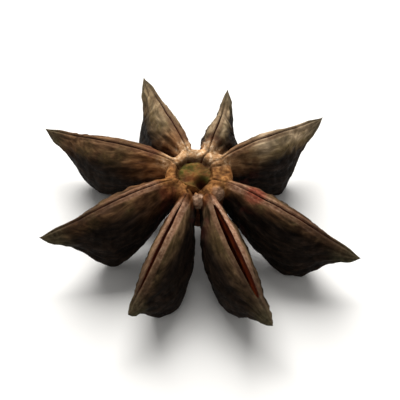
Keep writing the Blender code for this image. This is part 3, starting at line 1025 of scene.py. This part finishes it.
def crown_colour(tree, place, flecks, worn):
    """The crown: bark, rust and tan from the front to the back, round a dark disk with a
    hole in it, which is painted dark red-brown, its own colour and painted shade."""
    rearward = add(tree, "ShaderNodeSeparateXYZ", {"Vector": place}).outputs["Y"]
    rust = ranged(tree, rearward, *CROWN_RUST)
    top = blend(tree, rust, ramp(tree, flecks, BARK), ramp(tree, flecks, RUST))
    top = blend(tree, ranged(tree, rearward, *CROWN_TAN), top, ramp(tree, flecks, TAN))
    clouds = mottle(tree, place, *DISK_CLOUDS)
    top = blend(tree, mark(tree, "disk"), top, ramp(tree, clouds, DISK))
    top = blend(tree, 1.0, top, worn, "MULTIPLY")
    # The pit's dark red-brown: its own colour and painted shade
    hole = ranged(tree, mark(tree, "crest"), *HOLE_SHADE_CREST)
    return blend(tree, hole, top, colour(HOLE_SHADE_RED))


def rind_material():
    """Dry leathery skin, streaked along the arms, with painted light on the crests and beside the
    seams, painted shade in the valleys and on the flanks, the seams' lips, the crown, red-brown stains
    and pale woody knobs."""
    made, tree, shader = new_material("rind", "4a3524")
    place = millimetres(tree)
    flecks = mottle(tree, place, *FLECKS)
    streaks = mottle(tree, stretched(tree, mark(tree, "grain"), STREAK_STRETCH), *STREAKS)
    # Painted shade in the valleys, the pit and the groove, painted light on the crests
    worn = ranged(tree, mark(tree, "crest"), *RELIEF_SHADE_CREST)
    skin = arm_colour(tree, place, streaks, flecks, worn)
    skin = with_lips(tree, skin, flecks)
    skin = blend(tree, mark(tree, "crown"), skin, crown_colour(tree, place, flecks, worn))
    stain = times(tree, mark(tree, "stain"), ranged(tree, streaks, *STAIN_STREAKS))
    skin = blend(tree, stain, skin, ramp(tree, flecks, STAIN))
    skin = blend(tree, mark(tree, "knob"), skin, ramp(tree, flecks, KNOB))
    tree.links.new(skin, shader.inputs["Base Color"])

    tree.links.new(ranged(tree, flecks, *RIND_ROUGHNESS), shader.inputs["Roughness"])
    shader.inputs["Specular IOR Level"].default_value = 0.04
    normal = bumped(tree, streaks, STREAK_BUMP)
    normal = bumped(tree, mottle(tree, place, *GRIT), GRIT_BUMP, normal)
    tree.links.new(normal, shader.inputs["Normal"])
    return made


def lining_material():
    """The smooth inside of a carpel: dark at the lips with painted shade, glossy orange-brown below
    them.
    """
    made, tree, shader = new_material("lining", "8a4f24")
    flecks = mottle(tree, millimetres(tree), *LINING_FLECKS)
    fibres = mottle(tree, stretched(tree, mark(tree, "grain"), FIBRE_STRETCH), *FIBRES)
    # Painted shade on the lips' inner faces
    deep, edge = ramp(tree, flecks, LINING), ramp(tree, fibres, SLIT_SHADE)
    tree.links.new(blend(tree, mark(tree, "lip"), deep, edge), shader.inputs["Base Color"])
    shader.inputs["Roughness"].default_value = 0.3
    tree.links.new(bumped(tree, fibres, FIBRE_BUMP), shader.inputs["Normal"])
    return made


def coat_material():
    """The seeds: glossy chestnut brown with a dull pale scar at the narrow end."""
    made, tree, shader = new_material("coat", "7a3d18")
    lip = mark(tree, "lip")
    brown = ramp(tree, mottle(tree, millimetres(tree), *COAT_CLOUDS), COAT)
    edge = ranged(tree, mark(tree, "crest"), *SEED_EDGE_SHADE)
    brown = blend(tree, 1.0, brown, edge, "MULTIPLY")
    brown = blend(tree, lip, brown, colour(SCAR_COLOUR))
    tree.links.new(brown, shader.inputs["Base Color"])
    tree.links.new(ranged(tree, lip, *SCAR_ROUGHNESS), shader.inputs["Roughness"])
    shader.inputs["Coat Weight"].default_value = 0.4
    shader.inputs["Coat Roughness"].default_value = 0.08
    return made


def floor_material():
    made, _, shader = new_material("paper", PAPER)
    shader.inputs["Base Color"].default_value = colour(PAPER)
    shader.inputs["Roughness"].default_value = 0.8
    return made


def build_floor():
    edge = FLOOR_SIZE / 2
    corners = [(-edge, -edge, 0), (edge, -edge, 0), (edge, edge, 0), (-edge, edge, 0)]
    scene = bpy.context.scene.collection
    made = new_object("floor", scene, floor_material(), corners, [(0, 1, 2, 3)])


def add_camera():
    data = bpy.data.cameras.new("camera")
    data.lens = LENS
    data.sensor_width = SENSOR
    data.clip_start = 10 * MM
    made = bpy.data.objects.new("camera", data)
    bpy.context.scene.collection.objects.link(made)
    up = math.radians(VIEW_ELEVATION)
    back = Vector((0, -math.cos(up), math.sin(up)))
    made.location = Vector((0, 0, VIEW_HEIGHT)) + back * (VIEW_WIDTH * LENS / SENSOR)
    made.rotation_euler = (math.pi / 2 - up, 0, 0)
    bpy.context.scene.camera = made


def add_softbox(name, place, size, power):
    """A square lamp that faces the fruit."""
    data = bpy.data.lights.new(name, "AREA")
    data.size = size
    data.energy = power
    made = bpy.data.objects.new(name, data)
    made.location = place
    made.rotation_euler = Vector(place).to_track_quat("Z", "Y").to_euler()
    bpy.context.scene.collection.objects.link(made)


def light_studio():
    add_softbox("key", KEY_PLACE, KEY_SIZE, KEY_POWER)
    add_softbox("fill", FILL_PLACE, FILL_SIZE, FILL_POWER)
    world = bpy.data.worlds.new("studio")
    world.use_nodes = True
    sky = world.node_tree.nodes["Background"]
    sky.inputs["Color"].default_value = (1, 1, 1, 1)
    sky.inputs["Strength"].default_value = SKY
    bpy.context.scene.world = world
    bpy.context.scene.view_settings.view_transform = "Standard"


def main():
    parts = new_collection("star_anise")
    fruit = build_pericarp(parts, rind_material(), lining_material())
    coat = coat_material()
    seeds = [build_seed(parts, n, carpel, coat) for n, carpel in enumerate(CARPELS, 1)]
    centre_on_footprint(fruit, seeds)
    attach(fruit, "root")
    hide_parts("pericarp")
    for number, seed in enumerate(seeds, 1):
        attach(seed, "root")
        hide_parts(f"seed_{number}")
    build_floor()
    add_camera()
    light_studio()


main()
